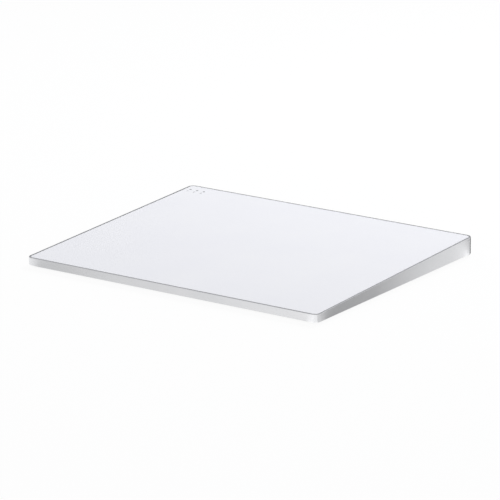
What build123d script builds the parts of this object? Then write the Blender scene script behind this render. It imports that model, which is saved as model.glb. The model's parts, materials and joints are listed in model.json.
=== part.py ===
from build123d import *
from math import atan2, cos, degrees, sin, tan
import os

os.makedirs("parts", exist_ok=True)

# Desktop trackpad: a wedge-shaped aluminium body round a hinged glass plate that clicks.
# +X is to the right, +Y to the back, +Z up, in millimetres.
# The origin lies on the desk, under the middle of the body.

# Outer form
body_width = 160.0
body_depth = 130.0
front_height = 3.9
rear_height = 8.5
corner_radius = 2.8
foot_height = 1.0

# Body walls
wall = 1.6
rim_width = 0.7
rim_bevel = 0.12
bottom_round = 0.6
ledge_width = 1.2
ledge_thickness = 0.5

# Clearances
overrun = 1.0
plate_gap = 0.25
under_clearance = 0.15
screw_clearance = 0.05
touch_gap = 0.05
part_gap = 0.15

# Moving plate, from the top down
glass_thickness = 1.0
glass_bevel = 0.15
adhesive_thickness = 0.1
sensor_board_thickness = 0.6
carrier_thickness = 0.4
sensor_inset = 2.4
click_travel = 0.35

# Indicator lamps at the rear left
lamp_count = 3
lamp_edge = 4.1
lamp_pitch = 3.95
lamp_setback = 6.6
lamp_guide_radius = 0.45
lamp_width = 0.8
lamp_length = 1.6
lamp_height = 0.4

# Leaf springs that the plate hinges on
hinge_x_share = 0.325
lug_width = 15.0
lug_reach = 6.0
lug_clearance = 0.25
notch_gap = 0.5
spring_width = 14.0
spring_thickness = 0.25
tongue_width = 9.0
tongue_length = 7.0
spring_screw_spread = 9.0
rivet_spread = 5.0
rivet_setback = 3.0
rivet_radius = 0.75
rivet_clearance = 0.1
rivet_head_radius = 1.4
rivet_head_height = 0.35

# Small screws, for springs, main board and cover alike
screw_radius = 0.6
screw_head_radius = 1.3
screw_head_height = 0.5

# Click switch under the front of the sensor board
switch_setback = 13.0
switch_size = 4.6
switch_height = 0.75
switch_roof = 0.15
switch_lip = 0.1
switch_bore_radius = 1.75
dome_radius = 1.65
dome_thickness = 0.06
plunger_radius = 0.8
plunger_flange_radius = 1.5
plunger_flange_height = 0.12
plunger_length = 0.4
plunger_rest_depth = 0.36
plunger_tip_bevel = 0.15

# Bottom cover
cover_thickness = 0.8
cover_recess = 0.15
cover_gap = 0.15
cover_bevel = 0.2
cover_screw_shares = (-0.37, 0.02, 0.40)
boss_setback = 4.6
boss_radius = 2.4
cover_screw_length = 1.6
foot_length = 20.0
foot_width = 5.0
foot_sink = 0.3
foot_bevel = 0.3
foot_x_share = 0.375
foot_y_shares = (-0.425, 0.415)

# Stop screw and stop pads under the plate
stop_screw_radius = 1.2
stop_screw_slot_width = 0.4
stop_screw_slot_depth = 0.35
stop_screw_inset = 0.1
stop_boss_radius = 2.6
stop_boss_height = 0.3
click_gap = 0.08
stop_pad_radius = 3.0
stop_pad_x_share = 0.39
stop_pad_setback = 9.0

# Main board
board_width = 60.0
board_depth = 22.0
board_x_share = 0.2
board_thickness = 0.8
board_height = 2.6
board_rear_gap = 0.4
board_lug_width = 5.0
board_lug_height = 1.6
board_screw_inset = 4.0
board_screw_setback = 3.0
board_post_radius = 1.5
board_post_inset = 3.0

# USB-C socket
port_height = 4.1
usb_x = 0.0
usb_width = 8.94
usb_height = 3.16
usb_wall = 0.3
usb_length = 7.0
usb_sink = 0.3
usb_plug_room = 5.2
usb_tongue_width = 6.69
usb_tongue_thickness = 0.7
usb_tongue_length = 4.45
usb_foot_width = 1.2
usb_foot_length = 1.6
usb_foot_spread = 3.6

# Power slide switch
power_x_share = 0.1667
power_travel = 2.0
power_case_width = 6.7
power_case_depth = 2.8
power_case_height = 1.4
power_case_wall = 0.25
power_knob_width = 2.6
power_knob_height = 1.1
power_neck_width = 1.6
power_neck_height = 0.7
power_carriage_width = 2.2
power_carriage_depth = 1.2
power_knob_sink = 0.1
power_scoop_margin = 1.6
power_scoop_depth = 0.5
power_ridge_count = 3
power_ridge_width = 0.25
power_ridge_depth = 0.15

# Channel button in the bottom cover
button_shares = (0.30, -0.09)
button_radius = 2.5
button_flange = 0.8
button_flange_height = 0.4
button_proud = 0.35
button_bevel = 0.2
button_travel = 0.3
button_clearance = 0.1
press_switch_size = 4.0
press_switch_height = 0.65
press_stem_radius = 0.6
press_stem_overlap = 0.1

# Battery
battery_width = 92.0
battery_depth = 36.0
battery_board_gap = 9.0
battery_swell_gap = 0.1
battery_corner = 2.0
battery_bevel = 0.7
battery_terrace = 3.6
battery_terrace_thickness = 0.3
battery_tape_thickness = 0.1
battery_tape_inset = 4.0
tray_rib_width = 0.8
tray_rib_height = 1.2
tray_rib_gap = 0.3
cell_board_width = 26.0
cell_board_depth = 3.0
cell_board_height = 0.9

# Battery leads, plug and socket
lead_x_share = -0.3667
lead_radius = 0.4
lead_pitch = 1.3
lead_bend = 1.3
lead_rise_run = 1.5
plug_width = 4.0
plug_depth = 3.4
plug_height = 1.2
plug_wall = 0.35
plug_setback = 0.6

# Ribbon between the main board and the sensor board
ribbon_x_share = -0.1
ribbon_span = 8.0
ribbon_width = 10.0
ribbon_thickness = 0.2
ribbon_bend = 1.0
ribbon_entry = 1.5
ribbon_run = 1.6
ribbon_play = 0.12
ribbon_socket_wall = 1.0
ribbon_socket_depth = 3.6
ribbon_socket_height = 1.1
ribbon_socket_gap_from_edge = 0.4
sensor_socket_height = 1.3
sensor_socket_floor = 0.2

# Chips: width, depth, height, and the place as shares of the board that carries them
touch_chip = (8.0, 8.0, 0.85)
touch_chip_shares = (0.16, -0.14)
touch_parts = ((2.0, 1.2, 0.6), (2.0, 1.2, 0.6), (3.0, 3.0, 0.7))
touch_parts_shares = ((0.10, -0.10), (0.10, -0.17), (0.22, -0.10))
window_gap = 0.6
radio_chip = (6.0, 6.0, 0.85)
radio_shield = (12.0, 9.0, 1.3)
radio_shares = (-0.366, 0.0)
shield_wall = 0.2
antenna = (9.0, 2.0, 1.1)
antenna_shares = (0.40, -0.36)
board_chips = ((3.0, 3.0, 0.75), (3.2, 2.5, 0.7), (4.0, 4.0, 1.5), (5.0, 4.0, 0.8), (2.0, 1.2, 0.6))
board_chips_shares = ((0.03, -0.02), (0.12, -0.02), (0.28, -0.08), (-0.08, 0.10), (0.20, -0.25))

# Heights and planes worked out from the sizes above
base_z = foot_height
deck_angle = atan2(rear_height - front_height, body_depth)
deck_depth = body_depth / cos(deck_angle)
deck_plane = Plane(
    origin=(0, 0, base_z + (front_height + rear_height) / 2),
    x_dir=(1, 0, 0),
    z_dir=(0, -sin(deck_angle), cos(deck_angle)),
)
sensor_top = glass_thickness + adhesive_thickness
carrier_top = sensor_top + sensor_board_thickness
plate_depth = carrier_top + carrier_thickness
pocket_depth = glass_thickness + click_travel + under_clearance
under_plate_depth = plate_depth + click_travel + under_clearance
cover_bottom_z = base_z + cover_recess
cover_top_z = cover_bottom_z + cover_thickness
ledge_top_z = cover_top_z + ledge_thickness
board_z = base_z + board_height
board_top_z = board_z + board_thickness
port_z = base_z + port_height
glass_inset = rim_width + plate_gap
rear_wall_y = body_depth / 2 - wall
hinge_x = hinge_x_share * body_width
hinge_places = [(-hinge_x, 0), (hinge_x, 0)]
lug_front_y = deck_depth / 2 - wall - lug_reach
notch_front_y = lug_front_y - notch_gap
hinge_y = lug_front_y - notch_gap / 2
spring_top = plate_depth + touch_gap
hinge_depth = spring_top + spring_thickness / 2
click_angle = click_travel / (hinge_y + deck_depth / 2 - glass_inset)


def deck(depth):
    """Plane parallel to the glass, at a depth below its top."""
    return deck_plane.offset(-depth)


def height_at(y, depth=0):
    """Height over the desk of a plane parallel to the glass, at a place from front to back."""
    middle = base_z + (front_height + rear_height) / 2
    return middle + y * tan(deck_angle) - depth / cos(deck_angle)


def along_deck(y):
    """The same place from front to back, measured along the slope of the glass."""
    return y / cos(deck_angle)


def sag_at(y):
    """How far the pressed plate goes down at a place from front to back."""
    return click_angle * (hinge_y - along_deck(y))


# Places that more than one piece uses
screw_hole_radius = screw_radius + screw_clearance
switch_y = along_deck(switch_setback - body_depth / 2)
lamp_y = along_deck(body_depth / 2 - lamp_setback)
lamp_places = [(lamp_edge - body_width / 2 + i * lamp_pitch, lamp_y) for i in range(lamp_count)]
spring_screw_y = lug_front_y + lug_reach / 2
rivet_y = notch_front_y - rivet_setback
spring_screw_places = []
rivet_places = []
for side in (-1, 1):
    for end in (-1, 1):
        spring_screw_places.append((side * hinge_x + end * spring_screw_spread / 2, spring_screw_y))
        rivet_places.append((side * hinge_x + end * rivet_spread / 2, rivet_y))
boss_x = body_width / 2 - boss_setback
boss_web = boss_setback - wall / 2
cover_screw_places = [(side * boss_x, share * body_depth) for share in cover_screw_shares for side in (-1, 1)]
foot_places = {
    "front_left_foot": (-foot_x_share * body_width, foot_y_shares[0] * body_depth),
    "front_right_foot": (foot_x_share * body_width, foot_y_shares[0] * body_depth),
    "rear_left_foot": (-foot_x_share * body_width, foot_y_shares[1] * body_depth),
    "rear_right_foot": (foot_x_share * body_width, foot_y_shares[1] * body_depth),
}
board_x = usb_x + board_x_share * board_width
board_rear_y = rear_wall_y - board_rear_gap
board_y = board_rear_y - board_depth / 2
board_front_y = board_rear_y - board_depth
power_x = board_x + power_x_share * board_width
lead_x = board_x + lead_x_share * board_width
ribbon_x = board_x + ribbon_x_share * board_width
button_x = board_x + button_shares[0] * board_width
button_y = board_y + button_shares[1] * board_depth
board_screw_places = [
    (board_x + side * (board_width / 2 - board_screw_inset), board_rear_y - board_screw_setback)
    for side in (-1, 1)
]
board_post_places = [
    (board_x + side * (board_width / 2 - board_post_inset), board_front_y + board_post_inset)
    for side in (-1, 1)
]
usb_mouth_y = body_depth / 2 - usb_sink
usb_inner_y = usb_mouth_y - usb_length
battery_z = cover_top_z + battery_tape_thickness
battery_rear_y = board_front_y - battery_board_gap
battery_y = battery_rear_y - battery_depth / 2
battery_front_y = battery_rear_y - battery_depth
battery_height = height_at(battery_front_y, under_plate_depth) - battery_z - battery_swell_gap
stop_pad_y = stop_pad_setback - body_depth / 2
stop_pad_places = [(side * stop_pad_x_share * body_width, stop_pad_y) for side in (-1, 1)]
sensor_width = body_width - 2 * sensor_inset
sensor_depth = deck_depth - 2 * sensor_inset


def on_sensor_board(shares):
    """Place on the sensor board, from shares of its width and depth."""
    return (shares[0] * sensor_width, shares[1] * sensor_depth)


def on_main_board(shares):
    """Place on the main board, from shares of its width and depth."""
    return (board_x + shares[0] * board_width, board_y + shares[1] * board_depth)


# Aluminium body: a wedge with a pocket for the plate above and a rebate for the cover below
with BuildPart() as boss_columns:
    with BuildSketch(Plane.XY.offset(cover_top_z)):
        for side_x, side_y in cover_screw_places:
            side = 1 if side_x > 0 else -1
            with Locations((side_x, side_y)):
                Circle(boss_radius)
            with Locations((side_x + side * boss_web / 2, side_y)):
                Rectangle(boss_web, 2 * boss_radius)
    extrude(amount=rear_height)
    split(bisect_by=deck(under_plate_depth), keep=Keep.BOTTOM)

with BuildPart() as housing:
    with BuildSketch(Plane.XY.offset(base_z)):
        RectangleRounded(body_width, body_depth, corner_radius)
    extrude(amount=rear_height + overrun)
    split(bisect_by=deck_plane, keep=Keep.BOTTOM)
    chamfer(housing.faces().sort_by(Axis.Z)[-1].edges(), length=rim_bevel)
    fillet(housing.faces().sort_by(Axis.Z)[0].edges(), radius=bottom_round)
    with BuildSketch(deck(-overrun)):
        RectangleRounded(body_width - 2 * rim_width, deck_depth - 2 * rim_width, corner_radius - rim_width)
    extrude(amount=-(pocket_depth + overrun), mode=Mode.SUBTRACT)
    with BuildSketch(Plane.XY.offset(ledge_top_z)):
        RectangleRounded(body_width - 2 * wall, body_depth - 2 * wall, corner_radius - wall)
    extrude(amount=rear_height, mode=Mode.SUBTRACT)
    with BuildSketch(Plane.XY.offset(base_z - overrun)):
        RectangleRounded(body_width - 2 * wall, body_depth - 2 * wall, corner_radius - wall)
    extrude(amount=cover_top_z - base_z + overrun, mode=Mode.SUBTRACT)
    with BuildSketch(Plane.XY.offset(cover_top_z - overrun)):
        Rectangle(body_width - 2 * (wall + ledge_width), body_depth - 2 * (wall + ledge_width))
    extrude(amount=ledge_thickness + 2 * overrun, mode=Mode.SUBTRACT)
    add(boss_columns.part)
    with BuildSketch(Plane.XY.offset(board_top_z)):
        with Locations(*[(x, rear_wall_y - lug_reach / 2 + wall / 4) for x, y in board_screw_places]):
            Rectangle(board_lug_width, lug_reach + wall / 2)
    extrude(amount=board_lug_height)
    with BuildSketch(deck(spring_top)):
        with Locations(*[(x, lug_front_y + (lug_reach + wall / 2) / 2) for x, y in hinge_places]):
            Rectangle(lug_width, lug_reach + wall / 2)
    extrude(amount=spring_top - glass_thickness - adhesive_thickness - lug_clearance)
    with BuildSketch(deck(spring_top + overrun)):
        with Locations(*spring_screw_places):
            Circle(screw_hole_radius)
    extrude(amount=spring_top + overrun, mode=Mode.SUBTRACT)
    with BuildSketch(Plane.XY.offset(base_z)):
        with Locations(*cover_screw_places, *board_screw_places):
            Circle(screw_hole_radius)
    extrude(amount=rear_height, mode=Mode.SUBTRACT)
    with BuildSketch(Plane.XZ.offset(-body_depth / 2 - overrun)):
        with Locations((usb_x, port_z)):
            SlotOverall(usb_width + 2 * part_gap, usb_height + 2 * part_gap)
        with Locations((power_x, port_z)):
            SlotOverall(power_knob_width + power_travel + 2 * part_gap, power_knob_height + 2 * part_gap)
    extrude(amount=wall + 2 * overrun, mode=Mode.SUBTRACT)
    with BuildSketch(Plane.XZ.offset(-body_depth / 2 - overrun)):
        with Locations((power_x, port_z)):
            SlotOverall(
                power_knob_width + power_travel + 2 * power_scoop_margin,
                power_knob_height + 2 * power_scoop_margin,
            )
    extrude(amount=power_scoop_depth + overrun, mode=Mode.SUBTRACT)
housing.part.label = "housing"
export_step(housing.part, "parts/housing.step")

# Glass touch surface with a fine bevel round its top
with BuildPart() as touch_glass:
    with BuildSketch(deck_plane):
        RectangleRounded(
            body_width - 2 * glass_inset, deck_depth - 2 * glass_inset, corner_radius - glass_inset
        )
    extrude(amount=-glass_thickness)
    chamfer(touch_glass.faces().sort_by(Axis.Z)[-1].edges(), length=glass_bevel)
touch_glass.part.label = "touch_glass"
export_step(touch_glass.part, "parts/touch_glass.step")

# Film of adhesive between the glass and the sensor board, open over the lamps
with BuildPart() as glass_adhesive:
    with BuildSketch(deck(glass_thickness)):
        RectangleRounded(sensor_width, sensor_depth, corner_radius - wall)
        with Locations(*lamp_places):
            Circle(lamp_guide_radius + screw_clearance, mode=Mode.SUBTRACT)
    extrude(amount=-adhesive_thickness)
glass_adhesive.part.label = "glass_adhesive"
export_step(glass_adhesive.part, "parts/glass_adhesive.step")


def notch_hinge_lugs():
    """Cut the two notches at the rear edge that clear the hinge lugs."""
    notch_depth = sensor_depth / 2 - notch_front_y + overrun
    with Locations(*[(x, notch_front_y + notch_depth / 2) for x, y in hinge_places]):
        Rectangle(lug_width + 2 * notch_gap, notch_depth, mode=Mode.SUBTRACT)


# Touch sensor board
with BuildPart() as sensor_board:
    with BuildSketch(deck(sensor_top)):
        RectangleRounded(sensor_width, sensor_depth, corner_radius - wall)
        notch_hinge_lugs()
        with Locations(*lamp_places):
            Circle(lamp_guide_radius + screw_clearance, mode=Mode.SUBTRACT)
    extrude(amount=-sensor_board_thickness)
sensor_board.part.label = "sensor_board"
export_step(sensor_board.part, "parts/sensor_board.step")

# Steel carrier plate, with windows round what is soldered under the sensor board
sensor_socket_width = ribbon_width + 2 * ribbon_socket_wall
sensor_socket_y = along_deck(board_front_y - ribbon_span) - ribbon_socket_depth / 2
lamp_window_width = lamp_edge - sensor_inset + (lamp_count - 1) * lamp_pitch + lamp_width / 2 + window_gap
lamp_window_depth = lamp_length / 2 + window_gap + sensor_depth / 2 - lamp_y
with BuildPart() as carrier_plate:
    with BuildSketch(deck(carrier_top)):
        RectangleRounded(sensor_width, sensor_depth, corner_radius - wall)
        notch_hinge_lugs()
        with Locations((0, switch_y)):
            Rectangle(switch_size + 2 * window_gap, switch_size + 2 * window_gap, mode=Mode.SUBTRACT)
        with Locations((ribbon_x, sensor_socket_y)):
            Rectangle(
                sensor_socket_width + 2 * window_gap,
                ribbon_socket_depth + 2 * window_gap,
                mode=Mode.SUBTRACT,
            )
        for size, shares in zip((touch_chip, *touch_parts), (touch_chip_shares, *touch_parts_shares)):
            with Locations(on_sensor_board(shares)):
                Rectangle(size[0] + 2 * window_gap, size[1] + 2 * window_gap, mode=Mode.SUBTRACT)
        with Locations((lamp_window_width / 2 - sensor_width / 2, sensor_depth / 2 - lamp_window_depth / 2)):
            Rectangle(lamp_window_width, lamp_window_depth, mode=Mode.SUBTRACT)
        with Locations(*rivet_places):
            Circle(rivet_radius, mode=Mode.SUBTRACT)
    extrude(amount=-carrier_thickness)
carrier_plate.part.label = "carrier_plate"
export_step(carrier_plate.part, "parts/carrier_plate.step")

# Touch controller and the parts beside it
with BuildPart() as touch_chips:
    for size, shares in zip((touch_chip, *touch_parts), (touch_chip_shares, *touch_parts_shares)):
        with BuildSketch(deck(carrier_top)):
            with Locations(on_sensor_board(shares)):
                Rectangle(size[0], size[1])
        extrude(amount=-size[2])
touch_chips.part.label = "touch_chips"
export_step(touch_chips.part, "parts/touch_chips.step")

# Lamp chips, which shine up through the board
with BuildPart() as indicator_lamps:
    with BuildSketch(deck(carrier_top)):
        with Locations(*lamp_places):
            Rectangle(lamp_width, lamp_length)
    extrude(amount=-lamp_height)
indicator_lamps.part.label = "indicator_lamps"
export_step(indicator_lamps.part, "parts/indicator_lamps.step")

# Clear pins that carry the light up to the glass
with BuildPart() as light_guides:
    with BuildSketch(deck(glass_thickness)):
        with Locations(*lamp_places):
            Circle(lamp_guide_radius)
    extrude(amount=-(adhesive_thickness + sensor_board_thickness))
light_guides.part.label = "light_guides"
export_step(light_guides.part, "parts/light_guides.step")

# Click switch: a case open below, which its plunger goes up into
switch_bottom = carrier_top + switch_height
lip_top = switch_bottom - switch_lip
bore_roof = carrier_top + switch_roof
with BuildPart() as click_switch:
    with BuildSketch(deck(carrier_top)):
        with Locations((0, switch_y)):
            Rectangle(switch_size, switch_size)
    extrude(amount=-switch_height)
    with BuildSketch(deck(bore_roof)):
        with Locations((0, switch_y)):
            Circle(switch_bore_radius)
    extrude(amount=-(lip_top - bore_roof), mode=Mode.SUBTRACT)
    with BuildSketch(deck(bore_roof)):
        with Locations((0, switch_y)):
            Circle(plunger_radius + touch_gap)
    extrude(amount=-(switch_bottom - bore_roof + overrun), mode=Mode.SUBTRACT)
click_switch.part.label = "click_switch"
export_step(click_switch.part, "parts/click_switch.step")

# Plunger, with a flange that the lip of the case holds
plunger_top = bore_roof + plunger_rest_depth
plunger_tip = switch_bottom + plunger_length
with BuildPart() as click_plunger:
    with BuildSketch(deck(plunger_top)):
        with Locations((0, switch_y)):
            Circle(plunger_flange_radius)
    extrude(amount=-plunger_flange_height)
    with BuildSketch(deck(plunger_top)):
        with Locations((0, switch_y)):
            Circle(plunger_radius)
    extrude(amount=-(plunger_tip - plunger_top))
    chamfer(click_plunger.faces().sort_by(Axis.Z)[0].edges(), length=plunger_tip_bevel)
click_plunger.part.label = "click_plunger"
export_step(click_plunger.part, "parts/click_plunger.step")

# Snap dome, rim on the roof of the case and crown on the plunger
switch_section = Plane(
    origin=deck_plane.from_local_coords((0, switch_y, 0)),
    x_dir=(1, 0, 0),
    z_dir=deck_plane.y_dir * -1,
)
dome_rim = bore_roof + dome_thickness
dome_crown = plunger_top - touch_gap / 2
with BuildPart() as click_dome:
    with BuildSketch(switch_section):
        with BuildLine():
            outer = TangentArc((0, -dome_crown), (dome_radius, -dome_rim), tangent=(1, 0))
            inner = TangentArc(
                (0, dome_thickness - dome_crown), (dome_radius, dome_thickness - dome_rim), tangent=(1, 0)
            )
            Line(outer @ 1, inner @ 1)
            Line(inner @ 0, outer @ 0)
        make_face()
    revolve(axis=Axis(switch_section.origin, deck_plane.z_dir))
click_dome.part.label = "click_dome"
export_step(click_dome.part, "parts/click_dome.step")

# Socket under the sensor board that takes the upper end of the ribbon
ribbon_room = ribbon_thickness + 2 * ribbon_play
ribbon_depth = carrier_top + sensor_socket_height - sensor_socket_floor - ribbon_room / 2
with BuildPart() as sensor_socket:
    with BuildSketch(deck(carrier_top)):
        with Locations((ribbon_x, sensor_socket_y)):
            Rectangle(sensor_socket_width, ribbon_socket_depth)
    extrude(amount=-sensor_socket_height)
    with BuildSketch(deck(ribbon_depth - ribbon_room / 2)):
        with Locations((ribbon_x, sensor_socket_y + ribbon_socket_depth / 2)):
            Rectangle(ribbon_width + 2 * ribbon_play, 2 * (ribbon_entry + ribbon_play))
    extrude(amount=-ribbon_room, mode=Mode.SUBTRACT)
sensor_socket.part.label = "sensor_socket"
export_step(sensor_socket.part, "parts/sensor_socket.step")

# Rivets that hold the carrier plate on the tongues of the springs
rivet_head_top = spring_top + spring_thickness + touch_gap
with BuildPart() as hinge_rivets:
    with BuildSketch(deck(carrier_top)):
        with Locations(*rivet_places):
            Circle(rivet_radius)
    extrude(amount=-(rivet_head_top - carrier_top))
    with BuildSketch(deck(rivet_head_top)):
        with Locations(*rivet_places):
            Circle(rivet_head_radius)
    extrude(amount=-rivet_head_height)
hinge_rivets.part.label = "hinge_rivets"
export_step(hinge_rivets.part, "parts/hinge_rivets.step")

# Leaf springs: a foot under the lug of the body and a tongue under the carrier plate
for name, side in (("left_hinge_spring", -1), ("right_hinge_spring", 1)):
    spring_foot_depth = lug_reach - part_gap
    tongue_reach = tongue_length + notch_gap
    with BuildPart() as hinge_spring:
        with BuildSketch(deck(spring_top)) as spring_outline:
            with Locations((side * hinge_x, lug_front_y + spring_foot_depth / 2)):
                Rectangle(spring_width, spring_foot_depth)
            with Locations((side * hinge_x, lug_front_y - tongue_reach / 2)):
                Rectangle(tongue_width, tongue_reach)
            fillet(spring_outline.vertices().group_by(Axis.Y)[0], radius=rivet_head_radius)
            with Locations(*spring_screw_places):
                Circle(screw_hole_radius, mode=Mode.SUBTRACT)
            with Locations(*rivet_places):
                Circle(rivet_radius + rivet_clearance, mode=Mode.SUBTRACT)
        extrude(amount=-spring_thickness)
    hinge_spring.part.label = name
    export_step(hinge_spring.part, f"parts/{name}.step")

# Screws that hold the springs up against the lugs
spring_screw_reach = spring_top + spring_thickness - glass_thickness - adhesive_thickness
with BuildPart() as spring_screws:
    with BuildSketch(deck(spring_top + spring_thickness)):
        with Locations(*spring_screw_places):
            Circle(screw_head_radius)
    extrude(amount=-screw_head_height)
    with BuildSketch(deck(spring_top + spring_thickness)):
        with Locations(*spring_screw_places):
            Circle(screw_radius)
    extrude(amount=spring_screw_reach - lug_clearance - touch_gap)
spring_screws.part.label = "spring_screws"
export_step(spring_screws.part, "parts/spring_screws.step")

# Bottom cover: a plate let into the body, with recesses for feet, screws and the button
stop_x = 0
stop_y = switch_setback - body_depth / 2
rib_inner_x = battery_width / 2 + tray_rib_gap + tray_rib_width / 2
rib_front_y = battery_front_y - tray_rib_gap - tray_rib_width / 2
with BuildPart() as bottom_cover:
    with BuildSketch(Plane.XY.offset(cover_bottom_z)):
        RectangleRounded(
            body_width - 2 * (wall + cover_gap), body_depth - 2 * (wall + cover_gap), corner_radius - wall
        )
    extrude(amount=cover_thickness)
    chamfer(bottom_cover.faces().sort_by(Axis.Z)[0].edges(), length=cover_bevel)
    with BuildSketch(Plane.XY.offset(cover_top_z)):
        with Locations((stop_x, stop_y)):
            Circle(stop_boss_radius)
    extrude(amount=stop_boss_height)
    with BuildSketch(Plane.XY.offset(cover_top_z)):
        with Locations((-rib_inner_x, battery_y), (rib_inner_x, battery_y)):
            Rectangle(tray_rib_width, battery_depth)
        with Locations((0, rib_front_y)):
            Rectangle(battery_width, tray_rib_width)
    extrude(amount=tray_rib_height)
    with BuildSketch(Plane.XY.offset(cover_top_z)):
        with Locations(*board_post_places):
            Circle(board_post_radius)
    extrude(amount=board_z - cover_top_z - touch_gap)
    with BuildSketch(Plane.XY.offset(cover_bottom_z)):
        with Locations(*foot_places.values()):
            SlotOverall(foot_length + 2 * touch_gap, foot_width + 2 * touch_gap)
    extrude(amount=foot_sink, mode=Mode.SUBTRACT)
    with BuildSketch(Plane.XY.offset(cover_bottom_z)):
        with Locations(*cover_screw_places):
            Circle(screw_head_radius + part_gap)
    extrude(amount=screw_head_height, mode=Mode.SUBTRACT)
    with BuildSketch(Plane.XY.offset(cover_bottom_z)):
        with Locations(*cover_screw_places):
            Circle(screw_hole_radius)
        with Locations((button_x, button_y)):
            Circle(button_radius + button_clearance)
        with Locations((stop_x, stop_y)):
            Circle(stop_screw_radius + screw_clearance)
    extrude(amount=cover_thickness + stop_boss_height, mode=Mode.SUBTRACT)
bottom_cover.part.label = "bottom_cover"
export_step(bottom_cover.part, "parts/bottom_cover.step")

# Cover screws, heads let into the cover
with BuildPart() as cover_screws:
    with BuildSketch(Plane.XY.offset(cover_bottom_z)):
        with Locations(*cover_screw_places):
            Circle(screw_head_radius)
    extrude(amount=screw_head_height)
    with BuildSketch(Plane.XY.offset(cover_bottom_z)):
        with Locations(*cover_screw_places):
            Circle(screw_radius)
    extrude(amount=cover_screw_length)
cover_screws.part.label = "cover_screws"
export_step(cover_screws.part, "parts/cover_screws.step")

# Four rubber feet let into the cover
for name, place in foot_places.items():
    with BuildPart() as foot:
        with BuildSketch(Plane.XY):
            with Locations(place):
                SlotOverall(foot_length, foot_width)
        extrude(amount=cover_bottom_z + foot_sink)
        chamfer(foot.faces().sort_by(Axis.Z)[0].edges(), length=foot_bevel)
    foot.part.label = name
    export_step(foot.part, f"parts/{name}.step")

# Stop screw that the plunger meets, set from below through the cover
stop_screw_top = height_at(stop_y, plunger_tip) - click_gap - plunger_radius * tan(deck_angle)
stop_screw_bottom = cover_bottom_z + stop_screw_inset
with BuildPart() as stop_screw:
    with BuildSketch(Plane.XY.offset(stop_screw_bottom)):
        with Locations((stop_x, stop_y)):
            Circle(stop_screw_radius)
    extrude(amount=stop_screw_top - stop_screw_bottom)
    with BuildSketch(Plane.XY.offset(stop_screw_bottom)):
        with Locations((stop_x, stop_y)):
            Rectangle(2 * (stop_screw_radius + overrun), stop_screw_slot_width)
    extrude(amount=stop_screw_slot_depth, mode=Mode.SUBTRACT)
stop_screw.part.label = "stop_screw"
export_step(stop_screw.part, "parts/stop_screw.step")

# Soft pads on the cover that the pressed plate comes down to
pad_meets_z = height_at(stop_pad_y - stop_pad_radius, plate_depth) - sag_at(stop_pad_y - stop_pad_radius)
with BuildPart() as stop_pads:
    with BuildSketch(Plane.XY.offset(cover_top_z)):
        with Locations(*stop_pad_places):
            Circle(stop_pad_radius)
    extrude(amount=pad_meets_z - touch_gap - cover_top_z)
stop_pads.part.label = "stop_pads"
export_step(stop_pads.part, "parts/stop_pads.step")

# Main board, notched for the USB-C socket
usb_notch_width = usb_width + 2 * part_gap
usb_notch_depth = board_rear_y - usb_inner_y + part_gap + overrun
with BuildPart() as main_board:
    with BuildSketch(Plane.XY.offset(board_z)):
        with Locations((board_x, board_y)):
            Rectangle(board_width, board_depth)
        with Locations((usb_x, board_rear_y + overrun - usb_notch_depth / 2)):
            Rectangle(usb_notch_width, usb_notch_depth, mode=Mode.SUBTRACT)
        with Locations(*board_screw_places):
            Circle(screw_hole_radius, mode=Mode.SUBTRACT)
    extrude(amount=board_thickness)
main_board.part.label = "main_board"
export_step(main_board.part, "parts/main_board.step")

# Screws that hold the main board up to its lugs
with BuildPart() as board_screws:
    with BuildSketch(Plane.XY.offset(board_z - screw_head_height)):
        with Locations(*board_screw_places):
            Circle(screw_head_radius)
    extrude(amount=screw_head_height)
    with BuildSketch(Plane.XY.offset(board_z)):
        with Locations(*board_screw_places):
            Circle(screw_radius)
    extrude(amount=board_thickness + board_lug_height - touch_gap)
board_screws.part.label = "board_screws"
export_step(board_screws.part, "parts/board_screws.step")

# Chips on the main board
with BuildPart() as main_chips:
    for size, shares in zip(board_chips, board_chips_shares):
        with BuildSketch(Plane.XY.offset(board_top_z)):
            with Locations(on_main_board(shares)):
                Rectangle(size[0], size[1])
        extrude(amount=size[2])
main_chips.part.label = "main_chips"
export_step(main_chips.part, "parts/main_chips.step")

# Radio chip under its sheet-metal shield
with BuildPart() as radio:
    with BuildSketch(Plane.XY.offset(board_top_z)):
        with Locations(on_main_board(radio_shares)):
            Rectangle(radio_chip[0], radio_chip[1])
    extrude(amount=radio_chip[2])
radio.part.label = "radio_chip"
export_step(radio.part, "parts/radio_chip.step")

with BuildPart() as shield:
    with BuildSketch(Plane.XY.offset(board_top_z)):
        with Locations(on_main_board(radio_shares)):
            Rectangle(radio_shield[0], radio_shield[1])
    extrude(amount=radio_shield[2])
    with BuildSketch(Plane.XY.offset(board_top_z)):
        with Locations(on_main_board(radio_shares)):
            Rectangle(radio_shield[0] - 2 * shield_wall, radio_shield[1] - 2 * shield_wall)
    extrude(amount=radio_shield[2] - shield_wall, mode=Mode.SUBTRACT)
shield.part.label = "radio_shield"
export_step(shield.part, "parts/radio_shield.step")

with BuildPart() as aerial:
    with BuildSketch(Plane.XY.offset(board_top_z)):
        with Locations(on_main_board(antenna_shares)):
            Rectangle(antenna[0], antenna[1])
    extrude(amount=antenna[2])
aerial.part.label = "antenna"
export_step(aerial.part, "parts/antenna.step")

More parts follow.
